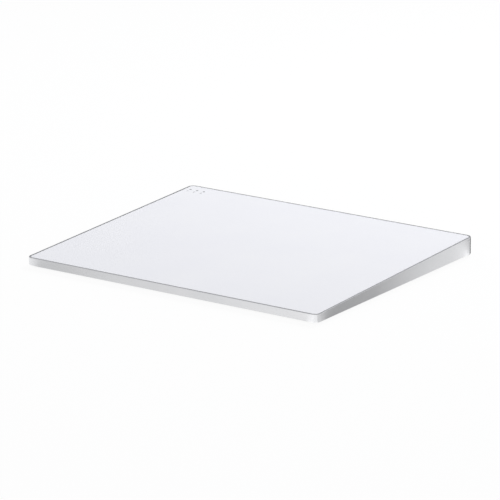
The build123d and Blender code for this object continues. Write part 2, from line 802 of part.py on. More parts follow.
# USB-C socket: a stadium-shaped shell with feet on the board, and the tongue in it
usb_floor = usb_length - usb_plug_room
with BuildPart() as usb_shell:
    with BuildSketch(Plane.XZ.offset(-usb_mouth_y)):
        with Locations((usb_x, port_z)):
            SlotOverall(usb_width, usb_height)
            SlotOverall(usb_width - 2 * usb_wall, usb_height - 2 * usb_wall, mode=Mode.SUBTRACT)
    extrude(amount=usb_length)
    usb_foot_reach = usb_foot_width + usb_wall
    foot_middle_y = (usb_inner_y + rear_wall_y) / 2
    with BuildSketch(Plane.XY.offset(board_top_z)):
        for side in (-1, 1):
            foot_x = usb_x + side * (usb_width / 2 + usb_foot_width - usb_foot_reach / 2)
            for end in (-1, 1):
                with Locations((foot_x, foot_middle_y + end * usb_foot_spread / 2)):
                    Rectangle(usb_foot_reach, usb_foot_length)
    extrude(amount=usb_wall)
usb_shell.part.label = "usb_shell"
export_step(usb_shell.part, "parts/usb_shell.step")

with BuildPart() as usb_tongue:
    with BuildSketch(Plane.XZ.offset(-usb_inner_y)):
        with Locations((usb_x, port_z)):
            SlotOverall(usb_width - 2 * usb_wall, usb_height - 2 * usb_wall)
    extrude(amount=-usb_floor)
    with BuildSketch(Plane.XZ.offset(-usb_inner_y - usb_floor)):
        with Locations((usb_x, port_z)):
            Rectangle(usb_tongue_width, usb_tongue_thickness)
    extrude(amount=-usb_tongue_length)
usb_tongue.part.label = "usb_tongue"
export_step(usb_tongue.part, "parts/usb_tongue.step")

# Power switch: a case with a slot in its rear face, and the slider in it
case_rear_y = rear_wall_y - part_gap
slot_height = power_case_height - 2 * power_case_wall
slot_width = power_carriage_width + power_travel + 2 * part_gap
slot_depth = power_carriage_depth + part_gap
rest_x = power_x - power_travel / 2
with BuildPart() as power_case:
    with BuildSketch(Plane.XZ.offset(-case_rear_y)):
        with Locations((power_x, board_top_z + power_case_height / 2)):
            Rectangle(power_case_width, power_case_height)
    extrude(amount=power_case_depth)
    with BuildSketch(Plane.XZ.offset(-case_rear_y)):
        with Locations((power_x, board_top_z + power_case_height / 2)):
            Rectangle(slot_width, slot_height)
    extrude(amount=slot_depth, mode=Mode.SUBTRACT)
power_case.part.label = "power_switch"
export_step(power_case.part, "parts/power_switch.step")

slider_z = board_top_z + power_case_height / 2
knob_face_y = body_depth / 2 - power_knob_sink
knob_depth = knob_face_y - rear_wall_y
with BuildPart() as power_slider:
    with BuildSketch(Plane.XZ.offset(-case_rear_y)):
        with Locations((rest_x, slider_z)):
            Rectangle(power_carriage_width, slot_height - 2 * touch_gap)
    extrude(amount=power_carriage_depth)
    with BuildSketch(Plane.XZ.offset(-rear_wall_y)):
        with Locations((rest_x, slider_z)):
            Rectangle(power_neck_width, power_neck_height)
    extrude(amount=part_gap + power_carriage_depth)
    with BuildSketch(Plane.XZ.offset(-knob_face_y)):
        with Locations((rest_x, slider_z)):
            RectangleRounded(power_knob_width, power_knob_height, power_knob_height / 4)
    extrude(amount=knob_depth)
    ridge_pitch = power_knob_width / (power_ridge_count + 1)
    with BuildSketch(Plane.XZ.offset(-knob_face_y)):
        with Locations((rest_x, slider_z)):
            with GridLocations(ridge_pitch, 0, power_ridge_count, 1):
                Rectangle(power_ridge_width, 2 * power_knob_height)
    extrude(amount=power_ridge_depth, mode=Mode.SUBTRACT)
power_slider.part.label = "power_slider"
export_step(power_slider.part, "parts/power_slider.step")

# Channel button, held in the cover by its flange
flange_z = cover_top_z + touch_gap
flange_top_z = flange_z + button_flange_height
with BuildPart() as channel_button:
    with BuildSketch(Plane.XY.offset(base_z - button_proud + cover_recess)):
        with Locations((button_x, button_y)):
            Circle(button_radius)
    extrude(amount=flange_z - base_z + button_proud - cover_recess)
    chamfer(channel_button.faces().sort_by(Axis.Z)[0].edges(), length=button_bevel)
    with BuildSketch(Plane.XY.offset(flange_z)):
        with Locations((button_x, button_y)):
            Circle(button_radius + button_flange)
    extrude(amount=button_flange_height)
channel_button.part.label = "channel_button"
export_step(channel_button.part, "parts/channel_button.step")

# Press switch under the main board, and its stem
press_bottom_z = board_z - press_switch_height
press_bore_depth = press_stem_overlap + button_travel + button_clearance
with BuildPart() as press_switch:
    with BuildSketch(Plane.XY.offset(press_bottom_z)):
        with Locations((button_x, button_y)):
            Rectangle(press_switch_size, press_switch_size)
            Circle(press_stem_radius + touch_gap, mode=Mode.SUBTRACT)
    extrude(amount=press_bore_depth)
    with BuildSketch(Plane.XY.offset(press_bottom_z + press_bore_depth)):
        with Locations((button_x, button_y)):
            Rectangle(press_switch_size, press_switch_size)
    extrude(amount=press_switch_height - press_bore_depth)
press_switch.part.label = "press_switch"
export_step(press_switch.part, "parts/press_switch.step")

with BuildPart() as press_stem:
    with BuildSketch(Plane.XY.offset(flange_top_z)):
        with Locations((button_x, button_y)):
            Circle(press_stem_radius)
    extrude(amount=press_bottom_z + press_stem_overlap - flange_top_z)
press_stem.part.label = "press_stem"
export_step(press_stem.part, "parts/press_stem.step")

# Battery pouch with its sealed terrace at the rear
with BuildPart() as battery:
    with BuildSketch(Plane.XY.offset(battery_z)):
        with Locations((0, battery_y)):
            RectangleRounded(battery_width, battery_depth, battery_corner)
    extrude(amount=battery_height)
    chamfer(battery.faces().group_by(Axis.Z)[-1].edges(), length=battery_bevel)
    with BuildSketch(Plane.XY.offset(battery_z)):
        with Locations((0, battery_rear_y + battery_terrace / 2 - battery_corner)):
            Rectangle(battery_width - 2 * battery_corner, battery_terrace + 2 * battery_corner)
    extrude(amount=battery_terrace_thickness)
battery.part.label = "battery"
export_step(battery.part, "parts/battery.step")

with BuildPart() as battery_tape:
    with BuildSketch(Plane.XY.offset(cover_top_z)):
        with Locations((0, battery_y)):
            Rectangle(battery_width - 2 * battery_tape_inset, battery_depth - 2 * battery_tape_inset)
    extrude(amount=battery_tape_thickness)
battery_tape.part.label = "battery_tape"
export_step(battery_tape.part, "parts/battery_tape.step")

# Protection board on the terrace of the battery
cell_board_z = battery_z + battery_terrace_thickness
cell_board_y = battery_rear_y + part_gap + cell_board_depth / 2
with BuildPart() as battery_circuit:
    with BuildSketch(Plane.XY.offset(cell_board_z)):
        with Locations((lead_x, cell_board_y)):
            Rectangle(cell_board_width, cell_board_depth)
    extrude(amount=cell_board_height)
battery_circuit.part.label = "battery_circuit"
export_step(battery_circuit.part, "parts/battery_circuit.step")

# Socket on the main board, open to the front, and the plug in it
socket_front_y = board_front_y + plug_setback
socket_height = plug_height + 2 * plug_wall
socket_width = plug_width + 2 * plug_wall
plug_z = board_top_z + socket_height / 2
with BuildPart() as battery_socket:
    with BuildSketch(Plane.XZ.offset(-socket_front_y)):
        with Locations((lead_x, plug_z)):
            Rectangle(socket_width, socket_height)
    extrude(amount=-(plug_depth + plug_wall))
    with BuildSketch(Plane.XZ.offset(-socket_front_y)):
        with Locations((lead_x, plug_z)):
            Rectangle(plug_width + 2 * touch_gap, plug_height + 2 * touch_gap)
    extrude(amount=-plug_depth, mode=Mode.SUBTRACT)
battery_socket.part.label = "battery_socket"
export_step(battery_socket.part, "parts/battery_socket.step")

with BuildPart() as battery_plug:
    with BuildSketch(Plane.XZ.offset(-(socket_front_y - plug_wall))):
        with Locations((lead_x, plug_z)):
            Rectangle(plug_width, plug_height)
    extrude(amount=-plug_depth)
battery_plug.part.label = "battery_plug"
export_step(battery_plug.part, "parts/battery_plug.step")

# Two leads from the protection board up to the plug
lead_start_y = cell_board_y + cell_board_depth / 2
lead_end_y = socket_front_y - plug_wall
lead_start_z = cell_board_z + cell_board_height / 2
with BuildPart() as battery_leads:
    for side in (-1, 1):
        route_plane = Plane.YZ.offset(lead_x + side * lead_pitch / 2)
        with BuildLine(route_plane) as lead_route:
            FilletPolyline(
                (lead_start_y, lead_start_z),
                (lead_start_y + lead_rise_run, lead_start_z),
                (lead_end_y - lead_rise_run, plug_z),
                (lead_end_y, plug_z),
                radius=lead_bend,
            )
        with BuildSketch(Plane(origin=lead_route.line @ 0, z_dir=lead_route.line % 0)):
            Circle(lead_radius)
        sweep(path=lead_route.line)
battery_leads.part.label = "battery_leads"
export_step(battery_leads.part, "parts/battery_leads.step")

# Socket on the main board for the lower end of the ribbon
ribbon_socket_front_y = board_front_y + ribbon_socket_gap_from_edge
lower_ribbon_z = board_top_z + ribbon_socket_height / 2
with BuildPart() as ribbon_socket:
    with BuildSketch(Plane.XZ.offset(-ribbon_socket_front_y)):
        with Locations((ribbon_x, lower_ribbon_z)):
            Rectangle(sensor_socket_width, ribbon_socket_height)
    extrude(amount=-ribbon_socket_depth)
    with BuildSketch(Plane.XZ.offset(-ribbon_socket_front_y)):
        with Locations((ribbon_x, lower_ribbon_z)):
            Rectangle(ribbon_width + 2 * ribbon_play, ribbon_thickness + 2 * touch_gap)
    extrude(amount=-(ribbon_entry + ribbon_play), mode=Mode.SUBTRACT)
ribbon_socket.part.label = "ribbon_socket"
export_step(ribbon_socket.part, "parts/ribbon_socket.step")

# Flat ribbon, bent up from the main board to the sensor board
upper_mouth = deck_plane.from_local_coords((ribbon_x, sensor_socket_y + ribbon_socket_depth / 2, -ribbon_depth))
upper_end = upper_mouth - deck_plane.y_dir * ribbon_entry
upper_turn = upper_mouth + deck_plane.y_dir * ribbon_run
with BuildPart() as sensor_ribbon:
    with BuildLine(Plane.YZ.offset(ribbon_x)) as ribbon_route:
        FilletPolyline(
            (ribbon_socket_front_y + ribbon_entry, lower_ribbon_z),
            (ribbon_socket_front_y - ribbon_run, lower_ribbon_z),
            (upper_turn.Y, upper_turn.Z),
            (upper_end.Y, upper_end.Z),
            radius=ribbon_bend,
        )
    with BuildSketch(Plane(origin=ribbon_route.line @ 0, x_dir=(1, 0, 0), z_dir=ribbon_route.line % 0)):
        Rectangle(ribbon_width, ribbon_thickness)
    sweep(path=ribbon_route.line)
sensor_ribbon.part.label = "sensor_ribbon"
export_step(sensor_ribbon.part, "parts/sensor_ribbon.step")

print(f"deck angle {degrees(deck_angle):.3f} degrees, click angle {degrees(click_angle):.4f} degrees")
print(f"hinge axis {hinge_y:.3f} behind the middle and {hinge_depth:.3f} under the glass top")
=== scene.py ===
"""Desktop trackpad: the finishes, inks, screws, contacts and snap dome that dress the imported
model, with the camera and the studio."""

import json
import math

import bmesh
import bpy
from mathutils import Matrix, Vector


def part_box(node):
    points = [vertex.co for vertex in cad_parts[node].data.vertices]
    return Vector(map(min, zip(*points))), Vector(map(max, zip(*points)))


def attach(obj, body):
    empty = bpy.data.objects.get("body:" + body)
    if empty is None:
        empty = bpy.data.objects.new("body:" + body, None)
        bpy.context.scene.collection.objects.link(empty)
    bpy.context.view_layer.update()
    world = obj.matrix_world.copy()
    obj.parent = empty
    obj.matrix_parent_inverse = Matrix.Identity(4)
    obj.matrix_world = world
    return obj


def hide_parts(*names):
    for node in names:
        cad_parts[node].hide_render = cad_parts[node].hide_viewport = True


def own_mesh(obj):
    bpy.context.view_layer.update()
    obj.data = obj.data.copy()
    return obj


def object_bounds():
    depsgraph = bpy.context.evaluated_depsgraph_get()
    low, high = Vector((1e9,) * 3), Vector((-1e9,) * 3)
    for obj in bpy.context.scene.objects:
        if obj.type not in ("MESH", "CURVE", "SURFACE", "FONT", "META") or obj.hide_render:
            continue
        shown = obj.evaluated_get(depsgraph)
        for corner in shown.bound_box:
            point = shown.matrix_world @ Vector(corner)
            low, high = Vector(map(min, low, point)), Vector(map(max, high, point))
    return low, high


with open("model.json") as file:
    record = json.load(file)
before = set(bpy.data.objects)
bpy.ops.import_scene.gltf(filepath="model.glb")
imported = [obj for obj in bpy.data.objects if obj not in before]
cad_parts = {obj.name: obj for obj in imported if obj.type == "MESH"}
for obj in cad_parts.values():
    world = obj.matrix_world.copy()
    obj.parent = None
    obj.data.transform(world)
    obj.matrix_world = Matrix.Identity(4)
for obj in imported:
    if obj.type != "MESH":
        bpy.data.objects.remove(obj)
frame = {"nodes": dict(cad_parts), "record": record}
cad_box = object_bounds()

mm = 0.001

# Sizes in millimetres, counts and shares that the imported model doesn't hold
lamp_window_radius = 0.62
lamp_window_sides = 40
print_thickness = 0.02
print_sink = 0.005
print_middle = print_thickness / 2 - print_sink
numeral_height = 1.9
numeral_stroke_gain = 0.04
numeral_setback = 2.6
screw_recess_length = 1.5
screw_recess_width = 0.42
screw_recess_depth = 0.3
screw_recess_taper_share = 0.72
screw_crown = 0.08
screw_head_height = 0.5
screw_shank_radius = 0.6
screw_sides = 32
screw_turn_seed = 7
contact_count = 12
contact_pitch = 0.5
contact_width = 0.27
contact_length = 3.4
contact_thickness = 0.03
contact_setback = 0.45
tongue_thickness = 0.7
weld_distance = 0.001
conductor_pitch = 1.0

# Patterns: the span that holds most of a noise's values, the strength of what stands up from a
# finish, and the angle in radians that a wave turns through in one unit of its own coordinates
noise_low = 0.3
noise_high = 0.7
raised_strength = 0.4
wave_angle = 20

# Camera, from the lines of the body in the picture
camera_place = (894.79, -1288.78, 467.11)
camera_yaw = 34.783
camera_pitch = 16.397
camera_roll = -0.25
picture_width = 500
picture_focal_length = 3554.7
sensor_width = 36.0
nearest_seen = 50

# Studio, in millimetres and watts, where a level of 1 is white. A lamp has a place, a side and a power
floor_reach = 6000
floor_tone = "#FBFBFC"
floor_glow_share = 0.93
surround_tone = "#FDFDFF"
horizon_level = 1.0
zenith_level = 0.5
lamps = {
    "overhead_lamp": ((0, 0, 1200), 800, 0.3),
    "rear_lamp": ((30, 420, 550), 300, 1.9),
}

# Azimuths at which the front and the right side mirror the camera's sight
off_front = -90 - camera_yaw
off_side = 90 - camera_yaw

# Light panel that the front and the right side mirror: along each side its levels go with places
# in millimetres, and round each corner with azimuths in degrees. Beside the rear corner one dark
# row starts nearer to the side, and draws the dark line down that corner
panel_lift = 0.4
panel_reach = 150
panel_corner = 3
front_left_levels = ((-235, 1.12), (off_front, 1.28))
front_levels = ((-73, 0.77), (-55, 0.78), (-35, 0.89), (20, 0.95), (55, 1.05), (74, 1.05))
front_right_levels = ((-118, 1.34), (-80, 1.25), (-25, 0.92))
side_levels = (
    (-62, 0.84), (-57, 0.47), (-20, 0.53), (22, 0.87), (50, 0.99), (57, 1.12), (60, 1.42), (62, 1.42),
)
dark_row_inset = 0.8
dark_row_azimuth = 58.5
dark_row_level = 0.05
rear_right_levels = ((80, 0.1), (105, 0.5), (130, 0.95))


def colour(code):
    """Linear colour with alpha, from an sRGB hex value."""
    parts = [int(code[i:i + 2], 16) / 255 for i in (1, 3, 5)]
    linear = [p / 12.92 if p <= 0.04045 else ((p + 0.055) / 1.055) ** 2.4 for p in parts]
    return (*linear, 1.0)


def per(size):
    """Texture scale whose features are a size in millimetres."""
    return 1 / (size * mm)


def set_inputs(tree, node, inputs):
    """Sets or links a node's inputs, each by its identifier, name or number."""
    by_identifier = {socket.identifier: socket for socket in node.inputs}
    for key, value in inputs.items():
        socket = by_identifier.get(key) or node.inputs[key]
        if isinstance(value, bpy.types.NodeSocket):
            tree.links.new(value, socket)
        else:
            socket.default_value = value


def add(tree, kind, settings=None, inputs=None):
    """Adds a node, sets its properties, and sets or links its inputs."""
    made = tree.nodes.new(kind)
    for name, value in (settings or {}).items():
        setattr(made, name, value)
    set_inputs(tree, made, inputs or {})
    return made


def empty_tree(owner):
    """The node tree of a material or a world, with nothing in it."""
    owner.use_nodes = True
    owner.node_tree.nodes.clear()
    return owner.node_tree


def grained_finish(name, steady, tones, gloss, relief, grain, patch=None, drawn=(1, 1, 1)):
    """A material whose colour, gloss and relief follow the grain that its making left.

    steady holds what is the same all over, tones two colours, gloss two roughnesses, relief a
    strength and a depth in millimetres, grain a size in millimetres and a detail, patch the same
    for slower changes of colour, and drawn a share for each axis, which draws the grain out
    where it is under 1.
    """
    material = bpy.data.materials.new(name)
    material.use_nodes = True
    tree = material.node_tree
    place = add(tree, "ShaderNodeTexCoord").outputs["Object"]
    along = add(tree, "ShaderNodeMapping", inputs={"Vector": place, "Scale": drawn}).outputs["Vector"]
    patterns = []
    for start, (size, detail) in ((along, grain), (place if patch else along, patch or grain)):
        pattern = add(tree, "ShaderNodeTexNoise", inputs={
            "Vector": start, "Scale": per(size), "Detail": detail,
        })
        patterns.append(pattern.outputs["Fac"])
    fine, slow = patterns
    share = add(tree, "ShaderNodeMapRange", inputs={
        "Value": slow, "From Min": noise_low, "From Max": noise_high,
    })
    tone = add(tree, "ShaderNodeMix", {"data_type": "RGBA"}, {
        "Factor_Float": share.outputs["Result"], "A_Color": colour(tones[0]), "B_Color": colour(tones[1]),
    })
    dullness = add(tree, "ShaderNodeMapRange", inputs={
        "Value": fine, "From Min": noise_low, "From Max": noise_high,
        "To Min": gloss[0], "To Max": gloss[1],
    })
    dimples = add(tree, "ShaderNodeBump", inputs={
        "Height": fine, "Strength": relief[0], "Distance": relief[1] * mm,
    })
    set_inputs(tree, tree.nodes["Principled BSDF"], {
        **steady, "Base Color": tone.outputs[2], "Roughness": dullness.outputs["Result"],
        "Normal": dimples.outputs["Normal"],
    })
    return material


def lay_over(material, share, tone, rougher=0.0, height=0.0):
    """Lays a colour over a finish where a share is 1, with a change of gloss and a height in millimetres."""
    tree = material.node_tree
    shader = tree.nodes["Principled BSDF"]
    under, dull, shape = [
        shader.inputs[name].links[0].from_socket for name in ("Base Color", "Roughness", "Normal")
    ]
    mixed = add(tree, "ShaderNodeMix", {"data_type": "RGBA"}, {
        "Factor_Float": share, "A_Color": under, "B_Color": colour(tone),
    })
    changed = add(tree, "ShaderNodeMath", {"operation": "MULTIPLY_ADD"}, {0: share, 1: rougher, 2: dull})
    set_inputs(tree, shader, {"Base Color": mixed.outputs[2], "Roughness": changed.outputs[0]})
    if height:
        raised = add(tree, "ShaderNodeBump", inputs={
            "Height": share, "Strength": raised_strength, "Distance": height * mm, "Normal": shape,
        })
        set_inputs(tree, shader, {"Normal": raised.outputs["Normal"]})
    return material


def facing_share(tree, start, full):
    """Share that goes from 0 to 1 between two heights of a face's own normal, where 1 looks up."""
    normal = add(tree, "ShaderNodeTexCoord").outputs["Normal"]
    up = add(tree, "ShaderNodeSeparateXYZ", inputs={"Vector": normal}).outputs["Z"]
    share = add(tree, "ShaderNodeMapRange", inputs={"Value": up, "From Min": start, "From Max": full})
    return share.outputs["Result"]


# Anodised aluminium, blasted with glass beads before anodising: their dimples spread highlights
# into an even satin with no direction. Real dimples are a few hundredths of a millimetre, and
# they are drawn at 0.12 so that a close view shows them. The rim is cut again after blasting, so
# it is smoother. Faces that look up, the rim among them, are painted a darker grey: painted shade
# that stands in for the gap's shade and the dark reflections, and draws a grey line round the glass.
def anodised_aluminium():
    material = grained_finish(
        "anodised_blasted_aluminium", {"Metallic": 1.0}, ("#D8D9DB", "#DCDCDE"), (0.28, 0.34),
        relief=(0.35, 0.006), grain=(0.12, 3), patch=(18, 2),
    )
    # Painted shade: faces that look up are painted a darker grey, which draws the gap's dark line round the
    # glass
    rim_painted_shade = facing_share(material.node_tree, start=0.9, full=0.97)
    return lay_over(material, rim_painted_shade, "#97989A", rougher=-0.14)


# Soda-lime glass, etched to satin on top and printed white behind: the etching keeps reflections
# soft, and the print gives it the cold white of paper under glass. Faces that don't look up, its
# ground edge among them, have no print behind them and are painted grey: painted shade that
# darkens the gap between the glass and the rim. The etching is drawn coarser than it is.
def white_glass():
    material = grained_finish(
        "etched_white_glass", {"IOR": 1.5}, ("#F1F2F7", "#F3F4F8"), (0.27, 0.34),
        relief=(0.2, 0.002), grain=(0.08, 2), patch=(30, 2),
    )
    # Painted shade: faces that don't look up are painted grey, which darkens the gap round the glass
    edge_painted_shade = facing_share(material.node_tree, start=0.4, full=0.2)
    return lay_over(material, edge_painted_shade, "#DDE0E1")


# Glass-epoxy board under green solder mask: copper tracks under the mask show as paler lines that
# stand up a little, and are drawn round cells whose sizes are in millimetres.
def circuit_board():
    unit, cell_length, cell_width, half_track = 9.0, 3.78, 1.17, 0.162
    material = grained_finish(
        "solder_masked_board", {"IOR": 1.55}, ("#0F4A2C", "#115030"), (0.28, 0.4),
        relief=(0.1, 0.01), grain=(0.6, 2), patch=(0.9, 1),
    )
    tree = material.node_tree
    place = add(tree, "ShaderNodeTexCoord").outputs["Object"]
    tracks = add(tree, "ShaderNodeTexBrick", {"offset": 0.37}, {
        "Vector": place, "Color1": (0, 0, 0, 1), "Color2": (0, 0, 0, 1), "Mortar": (1, 1, 1, 1),
        "Scale": per(unit), "Mortar Size": half_track / unit, "Brick Width": cell_length / unit,
        "Row Height": cell_width / unit,
    })
    return lay_over(material, tracks.outputs["Color"], "#1F7A48", height=0.03)


# Laminated ribbon: pale film, with flat copper conductors showing through. Their real pitch is
# 0.5 mm, and they are drawn at 1 mm so that a close view shows them.
def ribbon_laminate():
    material = grained_finish(
        "laminated_ribbon_film", {"IOR": 1.5}, ("#DAD8CF", "#DEDCD4"), (0.3, 0.42),
        relief=(0.1, 0.01), grain=(0.5, 2),
    )
    tree = material.node_tree
    place = add(tree, "ShaderNodeTexCoord").outputs["Object"]
    conductors = add(tree, "ShaderNodeTexWave", {"wave_type": "BANDS", "bands_direction": "X"}, {
        "Vector": place, "Scale": per(conductor_pitch * wave_angle / (2 * math.pi)),
    })
    return lay_over(material, conductors.outputs["Fac"], "#C9A27C", height=0.02)


finishes = {
    "anodised_aluminium": anodised_aluminium(),
    "white_glass": white_glass(),
    "circuit_board": circuit_board(),
    "ribbon_film": ribbon_laminate(),
    # Acrylic adhesive film, cast: milky, slightly glossy, with soft clouds.
    "clear_film": grained_finish(
        "cast_acrylic_adhesive_film", {"IOR": 1.47}, ("#DEDDD6", "#E8E7E1"), (0.22, 0.34),
        relief=(0.1, 0.01), grain=(3, 2)),
    # Cold-rolled steel sheet, tin plated: fine lines along the rolling direction under a soft shine.
    "steel_sheet": grained_finish(
        "rolled_tinned_steel", {"Metallic": 1.0}, ("#A9A9A8", "#BDBDBB"), (0.24, 0.4),
        relief=(0.25, 0.004), grain=(0.15, 4), drawn=(0.03, 1, 1)),
    # Epoxy moulding compound of chips: black, with a blasted mould's dull grain.
    "black_epoxy": grained_finish(
        "moulded_black_epoxy", {"IOR": 1.55}, ("#1B1B1D", "#262629"), (0.5, 0.65),
        relief=(0.3, 0.006), grain=(0.06, 3)),
    # Lamp chip's cast silicone over yellow phosphor: clear, glossy and a little cloudy.
    "lamp_package": grained_finish(
        "cast_lamp_silicone", {"IOR": 1.45}, ("#EDE6A8", "#F4F1DC"), (0.16, 0.24),
        relief=(0.1, 0.01), grain=(0.3, 2)),
    # Turned acrylic of the light guides: clear, with faint turning marks on the ends.
    "clear_acrylic": grained_finish(
        "turned_acrylic", {"IOR": 1.49, "Transmission Weight": 0.9}, ("#E9EEF0", "#F6F8F8"), (0.05, 0.2),
        relief=(0.15, 0.003), grain=(0.08, 3)),
    # Moulded nylons and polyesters of switches and connectors: dull grain of the mould.
    "switch_plastic": grained_finish(
        "moulded_black_nylon", {"IOR": 1.53}, ("#1C1C1D", "#242425"), (0.44, 0.56),
        relief=(0.5, 0.01), grain=(0.12, 3), patch=(25, 2)),
    "plunger_nylon": grained_finish(
        "moulded_white_nylon", {"IOR": 1.53}, ("#D8D5CB", "#E2DFD6"), (0.39, 0.51),
        relief=(0.5, 0.01), grain=(0.12, 3), patch=(25, 2)),
    "connector_plastic": grained_finish(
        "moulded_ivory_polyester", {"IOR": 1.53}, ("#D9D2BE", "#E2DCCB"), (0.44, 0.56),
        relief=(0.5, 0.01), grain=(0.15, 3), patch=(25, 2)),
    "connector_black": grained_finish(
        "moulded_black_polyester", {"IOR": 1.53}, ("#141415", "#1B1B1C"), (0.36, 0.48),
        relief=(0.5, 0.008), grain=(0.12, 3), patch=(25, 2)),
    # Moulded acetal of the slide and button: pale grey, finely matt, a little waxy.
    "knob_plastic": grained_finish(
        "moulded_grey_acetal", {"IOR": 1.48}, ("#C4C6C8", "#CDCFD1"), (0.39, 0.51),
        relief=(0.5, 0.01), grain=(0.15, 3), patch=(25, 2)),
    # Spark-eroded texture of the bottom cover's mould: an even matt grain of a quarter millimetre.
    "moulded_cover": grained_finish(
        "spark_textured_polycarbonate", {"IOR": 1.58}, ("#D5D6D8", "#D9DADC"), (0.52, 0.6),
        relief=(0.5, 0.02), grain=(0.25, 3), patch=(25, 2)),
    # Spring steel strip, rolled hard: fine lines, straw and blue in patches from its heat treatment.
    "spring_steel": grained_finish(
        "hard_rolled_spring_steel", {"Metallic": 1.0}, ("#A5A19A", "#9AA0A8"), (0.18, 0.34),
        relief=(0.2, 0.003), grain=(0.1, 4), patch=(4, 2), drawn=(1, 0.05, 1)),
    # Zinc-plated steel of small screws: bright, faintly blue, dented all over by tumbling.
    "zinc_steel": grained_finish(
        "zinc_plated_tumbled_steel", {"Metallic": 1.0}, ("#B9BCC4", "#CDD0D6"), (0.22, 0.38),
        relief=(0.3, 0.008), grain=(0.15, 4)),
    # Nickel-plated stamped steel of the socket's shell: bright, with drawing lines along its depth.
    "plated_steel": grained_finish(
        "nickel_plated_stamped_steel", {"Metallic": 1.0}, ("#B4B1AA", "#CFCCC5"), (0.16, 0.3),
        relief=(0.2, 0.003), grain=(0.08, 4), drawn=(1, 0.06, 1)),
    # Moulded silicone rubber of the feet: dull, greyer where dust clings.
    "foot_rubber": grained_finish(
        "moulded_silicone_rubber", {"IOR": 1.43}, ("#5E6063", "#6C6E71"), (0.6, 0.78),
        relief=(0.4, 0.012), grain=(0.1, 3), patch=(1.2, 4)),
    # Barium ceramic of the antenna, pressed and fired: fine, pale and slightly glossy.
    "antenna_ceramic": grained_finish(
        "fired_antenna_ceramic", {"IOR": 1.7}, ("#C3C5CC", "#D4D5DA"), (0.28, 0.42),
        relief=(0.2, 0.004), grain=(0.12, 3)),
    # Aluminium laminate of the battery pouch: soft shine over shallow wrinkles from the vacuum.
    "pouch_foil": grained_finish(
        "vacuum_sealed_aluminium_laminate", {"Metallic": 0.9}, ("#AEB0B2", "#C3C5C7"), (0.3, 0.42),
        relief=(0.5, 0.12), grain=(6, 3)),
    # Extruded silicone jacket of the leads: red and a little glossy.
    "lead_jacket": grained_finish(
        "extruded_silicone_jacket", {"IOR": 1.43}, ("#9E2019", "#B52A20"), (0.36, 0.5),
        relief=(0.2, 0.006), grain=(0.3, 3)),
}

# Screen-printed enamels on the glass: matt and even, a little open where the screen's mesh was.
window_ink = grained_finish(
    "screen_printed_window_ink", {"IOR": 1.5}, ("#929497", "#9A9C9F"), (0.45, 0.6),
    relief=(0.2, 0.003), grain=(0.1, 2))
numeral_ink = grained_finish(
    "screen_printed_numeral_ink", {"IOR": 1.5}, ("#7E8083", "#87898C"), (0.45, 0.6),
    relief=(0.2, 0.003), grain=(0.1, 2))
# Gold flash over nickel on the socket's contacts: warm, smooth, lightly worn by plugs.
contact_gold = grained_finish(
    "gold_flashed_contact", {"Metallic": 1.0}, ("#D9B35A", "#E6C878"), (0.18, 0.32),
    relief=(0.1, 0.004), grain=(0.2, 3))


def dress_nodes():
    """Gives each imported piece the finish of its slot."""
    for row in frame["record"]["subparts"]:
        piece = frame["nodes"][row["node"]]
        piece.data.materials.clear()
        piece.data.materials.append(finishes[row["material_slot"]])


def middle(node):
    """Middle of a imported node's box."""
    low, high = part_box(node)
    return (low + high) / 2


def new_object(name, data):
    """An object at the origin, in the scene."""
    made = bpy.data.objects.new(name, data)
    bpy.context.scene.collection.objects.link(made)
    return made


def new_piece(name, mesh, material):
    """An object that holds a mesh, whose place is in its points, with one material."""
    piece = new_object(name, mesh)
    mesh.materials.clear()
    mesh.materials.append(material)
    return piece


def finish_piece(piece, body):
    """Makes a piece ride on a body."""
    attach(piece, body)


def mesh_from(drawing, name):
    """A mesh from a drawing, which is freed."""
    mesh = bpy.data.meshes.new(name)
    drawing.to_mesh(mesh)
    drawing.free()
    return mesh


def welded_copy(node):
    """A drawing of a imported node, with its loose triangles joined."""
    drawing = bmesh.new()
    drawing.from_mesh(frame["nodes"][node].data)
    bmesh.ops.remove_doubles(drawing, verts=drawing.verts, dist=weld_distance * mm)
    return drawing


def glass_plane():
    """Matrix that lays the XY plane on the top of the glass, from its largest face that looks up."""
    glass = frame["nodes"]["touch_glass"].data
    top = max(glass.polygons, key=lambda face: face.area * max(face.normal.z, 0))
    up = top.normal.normalized()
    back = Vector((0, up.z, -up.y))
    across = back.cross(up)
    turn = Matrix((across, back, up)).transposed().to_4x4()
    return Matrix.Translation(top.center) @ turn


glass_top = glass_plane()


def on_glass(x, y):
    """Point of the glass's top over a place seen from above, in the top's own flat coordinates."""
    to_flat = glass_top.inverted()
    low, high = Vector((x, y, 0)), Vector((x, y, 1))
    a, b = to_flat @ low, to_flat @ high
    share = -a.z / (b.z - a.z)
    return (a + (b - a) * share).xy


def lamp_places():
    """Middles of the lamps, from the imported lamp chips."""
    chips = frame["nodes"]["indicator_lamps"].data
    xs = sorted({round(v.co.x, 6) for v in chips.vertices})
    y = middle("indicator_lamps").y
    return [((a + b) / 2, y) for a, b in zip(xs[::2], xs[1::2])]


def lamp_windows():
    """Three discs of grey diffusing ink over the lamps."""
    drawing = bmesh.new()
    for x, y in lamp_places():
        flat = on_glass(x, y)
        seat = glass_top @ Matrix.Translation((flat.x, flat.y, print_middle * mm))
        bmesh.ops.create_cone(
            drawing, cap_ends=True, segments=lamp_window_sides, radius1=lamp_window_radius * mm,
            radius2=lamp_window_radius * mm, depth=print_thickness * mm, matrix=seat,
        )
    mesh = mesh_from(drawing, "lamp_windows")
    finish_piece(new_piece("lamp_windows", mesh, window_ink), "plate")


